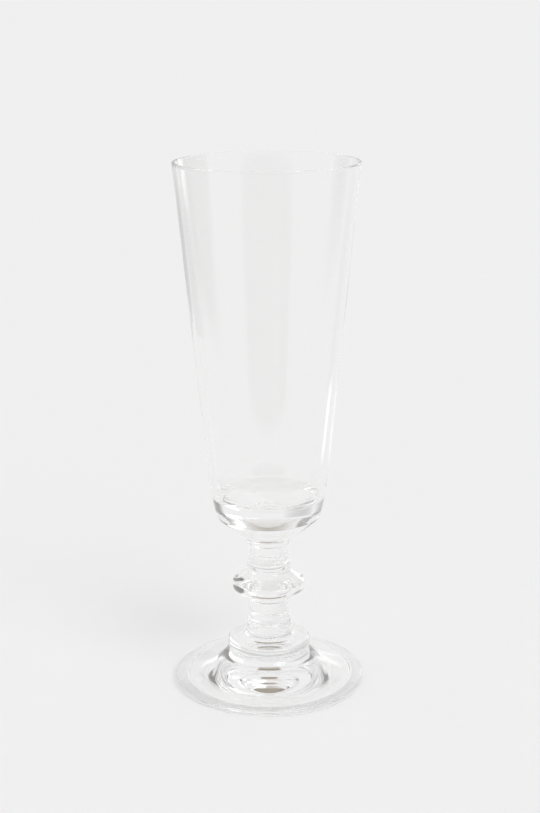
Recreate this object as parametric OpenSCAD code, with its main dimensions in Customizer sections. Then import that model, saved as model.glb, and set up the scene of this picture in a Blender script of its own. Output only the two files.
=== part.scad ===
// Champagne flute in clear soda-lime glass: a tall straight-sided bowl on a short stem with a
// disc knop, over a round collar and a domed foot that is hollow underneath.
// Every sub-part is a ring or disc of glass turned about the Z axis. Neighbours meet face to face
// on flat weld planes, as the gathers of a pressed and fused stem do. +Z is up and the origin is
// the centre of the resting ring. Millimetres.

/* [Foot] */
// Outer radius of the foot
foot_r = 33.7; // [31:0.1:38]
// Height of the foot where the collar sits on it
foot_h = 13.2; // [12:0.1:15]
// Radius of the foot's top face under the collar
foot_neck_r = 13.9; // [12.5:0.1:14.5]
// Thickness of the rounded edge of the foot
foot_edge_h = 2.9; // [2.4:0.1:3.4]
// Inner radius of the flat resting ring
rest_inner_r = 29.4; // [28:0.1:31]
// Outer radius of the flat resting ring
rest_outer_r = 32.4; // [31.5:0.1:32.8]
// Height of the shallow hollow under the middle of the foot
hollow_h = 1.8; // [1.2:0.1:4]

/* [Collar] */
// Outer radius of the collar
collar_r = 14.7; // [14.6:0.1:16]
// Thickness of the collar's disc
collar_disc_h = 3.2; // [2.6:0.1:4]
// Radius that rounds the collar's top edge
collar_round_r = 1.3; // [0.8:0.1:1.6]
// Height of the flared neck above the disc
collar_neck_h = 3.0; // [2.4:0.1:3.6]

/* [Stem] */
// Radius of the stem below the knop
lower_stem_r = 6.9; // [6:0.1:7.2]
// Length of the stem between the collar and the knop
lower_stem_h = 10.0; // [9:0.5:14]
// Radius of the stem above the knop
upper_stem_r = 6.7; // [6:0.1:6.9]
// Length of the stem between the knop and the bowl's ring
upper_stem_h = 8.0; // [7:0.5:12]
// Radius of the turned ring at the foot of each stem piece
stem_ring_r = 7.8; // [7.6:0.1:8.1]

/* [Knop] */
// Outer radius of the knop
knop_r = 13.0; // [12:0.1:14.5]
// Height of the knop between its two welds
knop_h = 12.9; // [12:0.1:14]
// Radius of the knop's rounded edge
knop_edge_r = 1.5; // [1.2:0.1:1.8]

/* [Bowl] */
// Overall height of the flute
flute_h = 185; // [165:1:205]
// Outer radius at the rim
rim_r = 31.5; // [28:0.5:34]
// Wall thickness at the rim
rim_wall = 1.2; // [1.0:0.1:1.6]
// Outer radius where the straight wall starts
waist_r = 20.6; // [20:0.1:22]
// Wall thickness where the straight wall starts
waist_wall = 1.7; // [1.4:0.1:2.0]
// Radius of the bowl's ring, the merese between stem and bowl
bowl_ring_r = 9.6; // [9:0.1:10.4]
// Height of the bowl's ring
bowl_ring_h = 4.2; // [3.8:0.1:5]

/* [Hidden] */
$fn = 128;

// Heights of the weld planes, from the foot upwards.
collar_z = foot_h;
lower_stem_z = collar_z + collar_disc_h + collar_neck_h;
knop_z = lower_stem_z + lower_stem_h;
upper_stem_z = knop_z + knop_h;
bowl_ring_z = upper_stem_z + upper_stem_h;
bowl_z = bowl_ring_z + bowl_ring_h;

// Heights inside the bowl, above its weld plane.
shoulder_z = bowl_z + 6.9;
waist_z = bowl_z + 19.1;
dish_z = bowl_z + 12.4;
wall_foot_z = bowl_z + 15.0;

// Points on an arc about [r, z] in the half plane, from one angle to another, ends included.
function arc(centre, radius, from, to, steps = 8) = [
    for (i = [0 : steps])
        let (a = from + (to - from) * i / steps)
        [centre.x + radius * cos(a), centre.y + radius * sin(a)]
];

// Points on a curve that leaves a along the line a-pull and reaches b along the line pull-b.
function sweep(a, pull, b, steps = 8) = [
    for (i = [0 : steps])
        let (t = i / steps)
        (1 - t) * (1 - t) * a + 2 * t * (1 - t) * pull + t * t * b
];

// Turns an outline, given as radius and height, into a solid of glass.
module turned(outline) {
    color("azure", 0.4)
        rotate_extrude()
            polygon(outline);
}

// The foot: a disc with a rounded edge and a flat resting ring, swept up to the collar.
module foot() {
    edge_r = foot_edge_h / 2;
    hollow_r = rest_inner_r - 2;
    turned(concat(
        [[0, foot_h]],
        sweep([0, hollow_h], [hollow_r / 2, hollow_h], [hollow_r, 0.8]),
        sweep([hollow_r + 0.3, 0.5], [hollow_r + 0.7, 0], [rest_inner_r, 0], 5),
        [[rest_outer_r, 0]],
        arc([foot_r - edge_r, edge_r], edge_r, -60, 80),
        sweep([30.6, 3.1], [18, 5.4], [foot_neck_r, foot_h], 14)
    ));
}

// The collar: a flat disc with a rounded top edge and a neck that flares in to the stem.
module collar() {
    top = collar_z + collar_disc_h;
    draft = 0.4;
    turned(concat(
        [[0, lower_stem_z], [0, collar_z], [collar_r - 0.3, collar_z], [collar_r, collar_z + 0.4]],
        arc([collar_r - draft - collar_round_r, top - collar_round_r], collar_round_r, 0, 85),
        sweep([collar_r - 2.4, top + 0.1], [stem_ring_r + 0.5, top + 0.3], [stem_ring_r, lower_stem_z])
    ));
}

// One length of stem: a ring at its foot, a cove above it, and a plain shaft to the next weld.
module stem(base_z, height, shaft_r, ring_h) {
    cove_h = 2.2;
    ring_top = base_z + ring_h;
    turned(concat(
        [[0, base_z + height], [0, base_z], [stem_ring_r - 0.2, base_z]],
        arc([stem_ring_r - ring_h / 2, base_z + ring_h / 2], ring_h / 2, -50, 60, 6),
        sweep([shaft_r + 0.45, ring_top + 0.1], [shaft_r, ring_top + 0.4], [shaft_r, ring_top + cove_h], 6),
        [[shaft_r, base_z + height]]
    ));
}

module lower_stem() {
    stem(lower_stem_z, lower_stem_h, lower_stem_r, 2.8);
}

module upper_stem() {
    stem(upper_stem_z, upper_stem_h, upper_stem_r, 2.0);
}

// The knop: a disc with a rounded edge that sweeps in to the stem above and below.
module knop() {
    edge_z = knop_z + 6.6;
    top_r = stem_ring_r - 0.2;
    turned(concat(
        [[0, upper_stem_z], [0, knop_z]],
        sweep([lower_stem_r, knop_z], [lower_stem_r + 0.2, knop_z + 2.2], [knop_r - 3.1, edge_z - 3.0]),
        arc([knop_r - knop_edge_r, edge_z], knop_edge_r, -45, 50),
        sweep([knop_r - 2.6, edge_z + 2.7], [stem_ring_r + 0.5, edge_z + 4.6], [top_r, upper_stem_z])
    ));
}

// The bowl's ring: a small bead over the stem, opening out under the bowl.
module bowl_ring() {
    bead_r = 0.9;
    bead_z = bowl_ring_z + 2.0;
    turned(concat(
        [[0, bowl_z], [0, bowl_ring_z]],
        sweep([upper_stem_r, bowl_ring_z], [upper_stem_r, bead_z - 1], [upper_stem_r + 0.5, bead_z - 0.7], 4),
        arc([7.9 - bead_r, bead_z], bead_r, -40, 60, 6),
        [[bowl_ring_r - 1.4, bowl_z - 1.1], [bowl_ring_r, bowl_z]]
    ));
}

// The bowl: a thick base that opens through a rounded shoulder into a thin straight wall. Its
// floor is a shallow cone with a small flat in the middle.
module bowl() {
    lip_r = rim_wall / 2;
    bore_r = waist_r - waist_wall;
    shoulder_r = waist_r - 2.0;
    turned(concat(
        [[0, dish_z], [0, bowl_z], [bowl_ring_r, bowl_z]],
        [[bowl_ring_r + 3.3, bowl_z + 2.3]],
        sweep(
            [shoulder_r - 2.1, shoulder_z - 1.6], [shoulder_r - 0.5, shoulder_z],
            [shoulder_r, shoulder_z + 2]
        ),
        sweep([waist_r - 0.9, waist_z - 5.2], [waist_r - 0.2, waist_z - 2], [waist_r, waist_z], 6),
        arc([rim_r - lip_r, flute_h - lip_r], lip_r, 5, 175),
        [[bore_r, waist_z]],
        sweep(
            [bore_r - 0.5, wall_foot_z + 1.1], [bore_r - 0.6, wall_foot_z + 0.2],
            [bore_r - 1.1, wall_foot_z], 4
        ),
        sweep([10.4, dish_z + 0.5], [9.4, dish_z + 0.1], [8.2, dish_z], 4)
    ));
}

foot();
collar();
lower_stem();
knop();
upper_stem();
bowl_ring();
bowl();
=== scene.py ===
# %% [markdown]
# # A champagne flute in clear glass
#
# The flute is seven pieces of glass that were fused while hot: a foot, a collar, two lengths of
# stem with a knop between them, a small ring, and the bowl. The imported CAD model gives the frame
# that every piece is placed in, so it loads first. Its box is kept.

# %% Load the frame
import math

import bpy
from mathutils import Matrix, Vector


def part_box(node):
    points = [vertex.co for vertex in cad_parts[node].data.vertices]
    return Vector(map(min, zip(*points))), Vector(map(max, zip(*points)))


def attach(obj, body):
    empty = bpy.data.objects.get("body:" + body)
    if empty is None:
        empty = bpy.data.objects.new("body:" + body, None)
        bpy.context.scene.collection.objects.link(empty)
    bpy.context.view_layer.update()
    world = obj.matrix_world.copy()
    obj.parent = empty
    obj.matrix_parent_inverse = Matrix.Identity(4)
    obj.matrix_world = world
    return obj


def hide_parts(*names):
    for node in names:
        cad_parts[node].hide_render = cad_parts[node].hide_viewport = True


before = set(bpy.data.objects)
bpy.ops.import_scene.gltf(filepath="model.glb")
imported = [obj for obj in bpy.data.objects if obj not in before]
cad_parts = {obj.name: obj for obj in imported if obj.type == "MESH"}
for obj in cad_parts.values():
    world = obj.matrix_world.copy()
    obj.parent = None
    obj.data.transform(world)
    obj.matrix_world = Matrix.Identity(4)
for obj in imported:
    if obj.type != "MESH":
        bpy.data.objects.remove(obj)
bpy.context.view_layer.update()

MM = 0.001

# %% [markdown]
# ## How a turned piece is made
#
# Every piece is round, so half of its cross-section says all there is to say about it. It could
# be built up from cylinders and bevels, but the eye sees each small error of a curve through
# clear glass. So the half section is drawn as a line, corner by corner with Extrude, and Spin
# turns it about the Z axis, as the glassmaker's pipe turned the hot glass.
#
# A corner is given as a point that pulls the line towards it. Long straight stretches are split,
# because light bounces many times inside the wall, and long tapering faces would turn it a
# little to one side each time.

# %% Drawing half a cross-section
CURVE_STEP = math.radians(5)
LONGEST_STEP = 2.5
TOO_CLOSE = 0.001


def rounded(corners):
    """A smooth line that touches the middle of each straight stretch and rounds each corner."""
    line = [Vector(corners[0])]
    for a, b, c in zip(corners, corners[1:], corners[2:]):
        a, b, c = Vector(a), Vector(b), Vector(c)
        start, end = (a + b) / 2, (b + c) / 2
        steps = max(1, math.ceil((b - a).angle(c - b) / CURVE_STEP))
        for i in range(steps + 1):
            t = i / steps
            point = (1 - t) ** 2 * start + 2 * t * (1 - t) * b + t * t * end
            if (point - line[-1]).length > TOO_CLOSE:
                line.append(point)
    line.append(Vector(corners[-1]))
    return line


def in_short_steps(outline):
    """The same line with its long stretches split, so that the turned faces are nearly square."""
    line = [Vector(outline[0])]
    for corner in outline[1:]:
        start, end = line[-1], Vector(corner)
        count = max(1, math.ceil((end - start).length / LONGEST_STEP))
        line += [start.lerp(end, (i + 1) / count) for i in range(count)]
    return line


# %% [markdown]
# Spin leaves a double row of points where the turn closes, and a ring of them on the axis.
# Merging by distance closes both, and then the normals are pointed outwards.

# %% Turning it into a solid
TURN_STEPS = 192
MERGE_WITHIN = 0.001 * MM
SMOOTH_BELOW = math.radians(32)


def turned(name, outline):
    """Draws an outline of (radius, height) in millimetres and spins it into a closed solid."""
    bpy.ops.object.select_all(action="DESELECT")
    bpy.ops.mesh.primitive_plane_add(size=MM)
    piece = bpy.context.object
    piece.name = piece.data.name = name
    bpy.ops.object.mode_set(mode="EDIT")
    bpy.ops.mesh.merge(type="CENTER")
    (r, z), *rest = in_short_steps(outline)
    bpy.ops.transform.translate(value=(r * MM, 0, z * MM))
    for next_r, next_z in rest:
        step = Vector((next_r - r, 0, next_z - z)) * MM
        bpy.ops.mesh.extrude_region_move(TRANSFORM_OT_translate={"value": step})
        r, z = next_r, next_z
    bpy.ops.mesh.select_all(action="SELECT")
    bpy.ops.mesh.spin(steps=TURN_STEPS, angle=math.tau, center=(0, 0, 0), axis=(0, 0, 1))
    bpy.ops.mesh.select_all(action="SELECT")
    bpy.ops.mesh.remove_doubles(threshold=MERGE_WITHIN)
    bpy.ops.mesh.normals_make_consistent(inside=False)
    bpy.ops.object.mode_set(mode="OBJECT")
    bpy.ops.object.shade_smooth_by_angle(angle=SMOOTH_BELOW)
    print(name, "has", len(piece.data.polygons), "faces")
    return piece


# %% [markdown]
# The pieces meet on flat weld planes. Their heights are read from the CAD pieces, so the two
# models can't drift apart.

# %% Weld heights
Z_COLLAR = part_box("collar")[0].z / MM
Z_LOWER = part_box("lower_stem")[0].z / MM
Z_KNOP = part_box("knop")[0].z / MM
Z_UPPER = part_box("upper_stem")[0].z / MM
Z_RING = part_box("bowl_ring")[0].z / MM
Z_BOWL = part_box("bowl")[0].z / MM
Z_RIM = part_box("bowl")[1].z / MM
welds = {
    Z_COLLAR: 13.9,
    Z_LOWER: 7.8,
    Z_KNOP: 6.9,
    Z_UPPER: 7.6,
    Z_RING: 6.7,
    Z_BOWL: 9.6,
}
print("weld heights and radii, mm:", {round(z, 2): r for z, r in welds.items()})

# %% [markdown]
# ## The foot
#
# The foot is a heavy disc that was pressed while hot. Its edge is rounded, its top sweeps up to
# the collar, and its underside has a very shallow hollow, so that it stands on a narrow ring. The
# depth of the hollow is a guess, because it is only seen through the glass.
#
# The hollow is nearly flat, which makes it a mirror: light that comes down through the front of
# the foot is turned up into the stem, and the bright and dark lobe in the middle of the foot is
# that reflection.

# %% The foot
foot = turned(
    "foot_glass",
    [(0, Z_COLLAR)]
    + rounded([
        (13.9, Z_COLLAR), (14.0, 12.2), (15.2, 10.2), (19, 7.8), (25, 5.2), (30.4, 3.5),
        (32.4, 3.0), (33.7, 2.5), (33.7, 0.9), (33.4, 0), (32.4, 0),
    ])
    + rounded([(29.4, 0), (28.5, 0), (27.6, 0.6), (20, 1.5), (13.7, 1.8), (0, 1.8)]),
)

# %% [markdown]
# ## The collar
#
# A gather of glass was dropped on the foot and flattened to a disc. Its top edge is round from
# the fire, and a short neck flares in to the stem.

# %% The collar
collar = turned(
    "collar_glass",
    [(0, Z_COLLAR)]
    + rounded([
        (13.9, Z_COLLAR), (14.7, Z_COLLAR), (14.7, Z_COLLAR + 1.2), (14.4, Z_COLLAR + 2.6),
        (13.8, Z_COLLAR + 3.2), (11.6, Z_COLLAR + 3.4), (8.6, Z_COLLAR + 3.9),
        (7.8, Z_COLLAR + 5.2), (7.8, Z_LOWER),
    ])
    + [(0, Z_LOWER)],
)

# %% [markdown]
# ## The stem and its knop
#
# Each length of stem has a small ring at its lower end, left by the tool that parted it, and a
# cove above the ring. The knop is a disc with a soft edge that sweeps in to the stem both ways.

# %% The lower stem
lower_stem = turned(
    "lower_stem_glass",
    [(0, Z_LOWER)]
    + rounded([
        (7.8, Z_LOWER), (7.9, Z_LOWER + 1.0), (7.9, Z_LOWER + 2.4), (7.4, Z_LOWER + 3.1),
        (7.2, Z_LOWER + 3.6), (6.9, Z_LOWER + 5.0), (6.9, Z_LOWER + 8.0), (6.9, Z_KNOP),
    ])
    + [(0, Z_KNOP)],
)

# %% The knop
Z_EDGE = Z_KNOP + 6.6
knop = turned(
    "knop_glass",
    [(0, Z_KNOP)]
    + rounded([
        (6.9, Z_KNOP), (6.9, Z_KNOP + 1.0), (8.6, Z_EDGE - 4.0), (12.2, Z_EDGE - 2.0),
        (13.0, Z_EDGE - 1.0), (13.0, Z_EDGE + 1.0), (12.2, Z_EDGE + 2.0),
        (9.0, Z_EDGE + 4.4), (7.7, Z_EDGE + 5.4), (7.6, Z_UPPER),
    ])
    + [(0, Z_UPPER)],
)

# %% The upper stem
upper_stem = turned(
    "upper_stem_glass",
    [(0, Z_UPPER)]
    + rounded([
        (7.6, Z_UPPER), (7.8, Z_UPPER + 0.6), (7.6, Z_UPPER + 2.0), (7.1, Z_UPPER + 2.4),
        (7.0, Z_UPPER + 3.6), (6.7, Z_UPPER + 4.4), (6.7, Z_UPPER + 6.0), (6.7, Z_RING),
    ])
    + [(0, Z_RING)],
)

# %% [markdown]
# ## The bowl and its ring
#
# A small bead of glass joins the bowl to the stem. The bowl has a thick base that opens through
# a rounded shoulder into a thin, straight wall. Its floor is a shallow cone with a small flat in
# the middle, and its rim is rounded by the fire.

# %% The bowl's ring
bowl_ring = turned(
    "bowl_ring_glass",
    [(0, Z_RING)]
    + rounded([
        (6.7, Z_RING), (6.7, Z_RING + 0.6), (7.3, Z_RING + 1.2), (7.9, Z_RING + 1.5),
        (7.9, Z_RING + 2.6), (8.0, Z_RING + 3.1), (8.6, Z_RING + 3.6), (9.6, Z_BOWL),
    ])
    + [(0, Z_BOWL)],
)

# %% The bowl
Z_SHOULDER = Z_BOWL + 6.9
Z_WAIST = Z_BOWL + 19.1
Z_FLOOR = Z_BOWL + 12.4
outside = rounded([
    (9.6, Z_BOWL), (13.0, Z_BOWL + 2.4), (17.0, Z_SHOULDER - 1.0), (18.2, Z_SHOULDER + 0.2),
    (18.7, Z_SHOULDER + 2.4), (19.8, Z_WAIST - 5.0), (20.5, Z_WAIST - 1.5), (20.7, Z_WAIST + 1),
])
lip = rounded([
    (31.4, Z_RIM - 1.5), (31.5, Z_RIM - 0.6), (31.4, Z_RIM),
    (30.4, Z_RIM), (30.3, Z_RIM - 0.6), (30.2, Z_RIM - 1.5),
])
inside = rounded([
    (18.95, Z_WAIST), (18.5, Z_FLOOR + 4.1), (18.35, Z_FLOOR + 3.0), (17.9, Z_FLOOR + 2.6),
    (9.8, Z_FLOOR + 0.3), (8.9, Z_FLOOR), (0, Z_FLOOR),
])
bowl = turned("bowl_glass", [(0, Z_BOWL)] + outside + lip + inside)

# %% [markdown]
# ## Writing materials as sums
#
# A material is a net of nodes. Built by hand it is hard to read, so a small class stands for one
# output in the net: a plus, minus or times sign on it adds the Math node. One method adds any
# other kind of node, with its settings first and then its values or links.

# %% Helpers for materials
class Wire:
    """One output in a material's node tree. Plus, minus and times signs on it add Math nodes."""

    def __init__(self, recipe, socket):
        self.recipe = recipe
        self.socket = socket

    def maths(self, operation, first, second, clamp=False):
        settings = {"operation": operation, "use_clamp": clamp}
        return self.recipe.node("ShaderNodeMath", settings, {0: first, 1: second})

    def __add__(self, other):
        return self.maths("ADD", self, other)

    def __radd__(self, other):
        return self.maths("ADD", other, self)

    def __sub__(self, other):
        return self.maths("SUBTRACT", self, other)

    def __rsub__(self, other):
        return self.maths("SUBTRACT", other, self)

    def __mul__(self, other):
        return self.maths("MULTIPLY", self, other)

    def __rmul__(self, other):
        return self.maths("MULTIPLY", other, self)


class Recipe:
    """A material's node tree, and the one method that adds a node to it."""

    def __init__(self, name):
        self.material = bpy.data.materials.new(name)
        self.material.use_nodes = True
        self.tree = self.material.node_tree
        self.shader = self.tree.nodes["Principled BSDF"].inputs
        self.surface = self.tree.nodes["Material Output"].inputs["Surface"]

    def join(self, value, socket):
        if isinstance(value, Wire):
            self.tree.links.new(value.socket, socket)
        else:
            socket.default_value = value

    def node(self, kind, settings=None, values=None, output=0):
        made = self.tree.nodes.new(kind)
        for name, value in (settings or {}).items():
            setattr(made, name, value)
        for name, value in (values or {}).items():
            self.join(value, made.inputs[name])
        return Wire(self, made.outputs[output])


# %% [markdown]
# ## Clear glass
#
# The real glass is colourless, with the faint cords and ripples of a hand-gathered piece. The
# cords are where one batch of glass folded into another. They run along the way the glass was
# drawn, so a noise pattern is stretched upwards for them, and it also carries the faintest tint.
# A finer pattern gives the skin left by the fire. The cords are a few hundredths of a millimetre
# deep and the skin a few thousandths: enough to bend the lines that are seen through the wall, too
# little to look like dents.

# %% The glass
CORDS_PER_METRE = 70
CORD_STRETCH = 0.35
SKIN_PER_METRE = 600
SKIN_SHARE = 0.04
RIPPLE_DEPTH = 0.05 * MM
MOST_ROUGH = 0.02
PURE = (1, 1, 1, 1)
CORD_TINT = (0.992, 0.993, 0.99, 1)
GLASS_IOR = 1.5
NOISE_DETAIL = 1
# A Mix node has sockets for each kind of value. These are the two colours in and the one out.
COLOUR_A, COLOUR_B, COLOUR_OUT = 6, 7, 2

glass = Recipe("clear_glass")
place = glass.node("ShaderNodeTexCoord", output="Object")
drawn = glass.node("ShaderNodeMapping", values={"Vector": place, "Scale": (1, 1, CORD_STRETCH)})


def noise(where, per_metre):
    """A soft random pattern with so many spots to the metre."""
    values = {"Vector": where, "Scale": per_metre, "Detail": NOISE_DETAIL}
    return glass.node("ShaderNodeTexNoise", values=values)


cords = noise(drawn, CORDS_PER_METRE)
skin = noise(place, SKIN_PER_METRE)
ripple = {"Strength": 1.0, "Distance": RIPPLE_DEPTH, "Height": cords + SKIN_SHARE * skin}
tint = {"Factor": cords, COLOUR_A: PURE, COLOUR_B: CORD_TINT}
glass.join(glass.node("ShaderNodeBump", values=ripple), glass.shader["Normal"])
glass.join(MOST_ROUGH * skin, glass.shader["Roughness"])
glass.join(
    glass.node("ShaderNodeMix", {"data_type": "RGBA"}, tint, output=COLOUR_OUT),
    glass.shader["Base Color"],
)
glass.shader["IOR"].default_value = GLASS_IOR
glass.shader["Transmission Weight"].default_value = 1.0
print("clear_glass has", len(glass.tree.nodes), "nodes")

# %% [markdown]
# ## The welds
#
# Where two pieces are fused, there is no surface inside the glass any more. In the model both
# pieces still have a face there, and a glass face would bend the light twice. So those faces get
# a second material that isn't seen at all.

# %% Hide the fused faces
FLAT = 0.999
ON_PLANE = 0.002

fused = Recipe("fused_weld")
fused.shader["Alpha"].default_value = 0.0


def is_fused(face):
    """True for a flat face that lies on a weld plane, inside the weld's radius."""
    height, radius = face.center.z / MM, face.center.xy.length / MM
    return abs(face.normal.z) > FLAT and any(
        abs(height - z) < ON_PLANE and radius < r for z, r in welds.items()
    )


pieces = {
    "foot": foot,
    "collar": collar,
    "lower_stem": lower_stem,
    "knop": knop,
    "upper_stem": upper_stem,
    "bowl_ring": bowl_ring,
    "bowl": bowl,
}
for node, piece in pieces.items():
    piece.data.materials.append(glass.material)
    piece.data.materials.append(fused.material)
    hidden = [face for face in piece.data.polygons if is_fused(face)]
    for face in hidden:
        face.material_index = 1
    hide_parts(node)
    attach(piece, "root")
    print(node, "has", len(hidden), "fused faces")

# %% [markdown]
# ## The table and the air
#
# Clear glass has no look of its own: it shows what is round it. It stands on a pale table in a
# bright, even studio, so its edges are drawn by what the glass bends into view. The world gives
# the even light, and one broad, soft light from the right and in front gives the highlights and
# the soft shadow behind.

# %% Table and soft light
TABLE_WIDTH = 60
TABLE_WHITE = (0.87, 0.87, 0.87, 1)
AIR = 0.87
KEY = 0.55
KEY_SPREAD = math.radians(30)
KEY_FROM = Vector((0.55, -0.75, 1.0))

scene = bpy.context.scene
bpy.ops.object.select_all(action="DESELECT")
bpy.ops.mesh.primitive_plane_add(size=TABLE_WIDTH)
table = bpy.context.object
table.name = "table"
paper = Recipe("pale_paper")
paper.shader["Base Color"].default_value = TABLE_WHITE
paper.shader["Roughness"].default_value = 1.0
paper.shader["Specular IOR Level"].default_value = 0.0
table.data.materials.append(paper.material)

studio = bpy.data.worlds.new("studio")
studio.use_nodes = True
studio.node_tree.nodes["Background"].inputs["Color"].default_value = (1, 1, 1, 1)
studio.node_tree.nodes["Background"].inputs["Strength"].default_value = AIR
scene.world = studio

bpy.ops.object.light_add(type="SUN", rotation=KEY_FROM.to_track_quat("Z", "Y").to_euler())
key = bpy.context.object
key.name = "key"
key.data.energy = KEY
key.data.angle = KEY_SPREAD
print("table", TABLE_WIDTH, "m wide, air", AIR, "and key light", KEY)

# %% [markdown]
# ## Cards
#
# A photographer of glass stands dark and bright cards round it, out of the picture. They don't
# light the table: they are there to be seen in the glass, where they give it its dark edges and
# its sparkle. These do the same. Only reflections and refractions see them, and light that has
# already touched the table passes through them. They fade out towards their edges, because a
# hard edge would show as a cut across the glass.

# %% A card that is seen only in the glass
# The product of four ramps is a sixteenth at the middle of a card, so this brings it to one.
HUMP_HEIGHT = 16


def card(name, azimuth, elevation, distance, width, height, grey, fade):
    """Stands a card that faces the glass. Azimuth 0 is behind it, and 90 is to its right.

    A fade of 1 lets only the middle of the card be solid. Higher values fade nearer the edge.
    """
    turn, tilt = math.radians(azimuth), math.radians(elevation)
    level = math.cos(tilt)
    aim = Vector((math.sin(turn) * level, math.cos(turn) * level, math.sin(tilt)))
    bpy.ops.object.select_all(action="DESELECT")
    bpy.ops.mesh.primitive_plane_add(
        size=1, location=aim * distance, rotation=aim.to_track_quat("Z", "Y").to_euler()
    )
    stand = bpy.context.object
    stand.name = name
    stand.scale = (width, height, 1)
    bpy.ops.object.transform_apply(location=True, rotation=True, scale=True)
    face = Recipe(name)
    spread = face.node("ShaderNodeTexCoord", output="UV")
    across = face.node("ShaderNodeSeparateXYZ", values={0: spread}, output="X")
    along = face.node("ShaderNodeSeparateXYZ", values={0: spread}, output="Y")
    hump = HUMP_HEIGHT * across * (1 - across) * along * (1 - along)
    cover = hump.maths("MULTIPLY", hump, fade, clamp=True)
    off_table = face.node("ShaderNodeLightPath", output="Diffuse Depth")
    bare = off_table.maths("SUBTRACT", 1, off_table, clamp=True)
    glow = face.node("ShaderNodeEmission", values={"Color": (*grey, 1)})
    clear = face.node("ShaderNodeBsdfTransparent")
    mixed = face.node("ShaderNodeMixShader", values={0: cover * bare, 1: clear, 2: glow})
    face.join(mixed, face.surface)
    stand.data.materials.append(face.material)
    stand.visible_camera = stand.visible_diffuse = stand.visible_shadow = False


# %% [markdown]
# Thick glass turns left and right round, so the card on the right darkens the left side of the
# knop and of the bowl's base, and the card on the left darkens the right side. The card high
# behind gives the dark core of the foot. The low card behind gives the soft grey to the right in
# the bowl's base, and it stays far enough to the left not to be seen straight through the bowl.
# The lit strip stands on the table and gives the bright streak low in the bowl.

# %% The cards
# Name, azimuth, elevation, distance, width, height, brightness in red, green and blue, and fade.
CARDS = [
    ("camera_side", 180, 5, 1.0, 1.50, 0.45, (0.36, 0.35, 0.34), 3),
    ("overhead", 180, 76, 1.0, 0.60, 0.90, (0.36, 0.32, 0.26), 3),
    ("high_behind", 0, 49, 1.0, 0.34, 0.46, (0.34, 0.30, 0.25), 3),
    ("left_side", -62, 26, 1.0, 0.80, 0.90, (0.26, 0.26, 0.26), 2),
    ("right_side", 68, 20, 1.0, 1.10, 0.75, (0.22, 0.21, 0.20), 3),
    ("low_left_behind", -25, 6, 0.5, 0.28, 0.16, (0.60, 0.60, 0.60), 1),
    ("lamp_right_behind", 30, 14, 1.0, 0.35, 0.35, (2.0, 2.0, 2.0), 3),
    ("lit_strip", 21, 5.5, 0.24, 0.03, 0.05, (1.3, 1.3, 1.3), 1.5),
]
for settings in CARDS:
    card(*settings)
print("cards:", [settings[0] for settings in CARDS])

# %% [markdown]
# Light that enters the rim can run down inside the wall and bounce hundreds of times before it
# leaves, so the glass needs far more bounces than other materials. Blurring of reflected light
# is switched off too, because it would hide the table from light that comes through the foot.

# %% Bounces and colour
BOUNCES = 1000
CLEAR_BOUNCES = 64
scene.view_settings.view_transform = "Standard"
scene.cycles.blur_glossy = 0.0
scene.cycles.max_bounces = BOUNCES
scene.cycles.transmission_bounces = BOUNCES
scene.cycles.glossy_bounces = BOUNCES
scene.cycles.transparent_max_bounces = CLEAR_BOUNCES
print("light may bounce", BOUNCES, "times in the glass")

# %% [markdown]
# ## The camera
#
# The view is from a little above the rim, from about half a metre away, with a long lens.

# %% Camera
CAMERA_AT = Vector((0.71, -537.0, 245.6)) * MM
PITCH_DOWN = math.radians(15.105)
ROLL = math.radians(-0.292)
LENS = 71.45
SEES_TO = 100

aim = Matrix.Rotation(math.radians(90) - PITCH_DOWN, 4, "X") @ Matrix.Rotation(ROLL, 4, "Z")
bpy.ops.object.camera_add(location=CAMERA_AT, rotation=aim.to_euler())
camera = bpy.context.object
camera.data.lens = LENS
camera.data.clip_end = SEES_TO
scene.camera = camera
print("camera", [round(v / MM, 1) for v in camera.location], "lens", LENS)
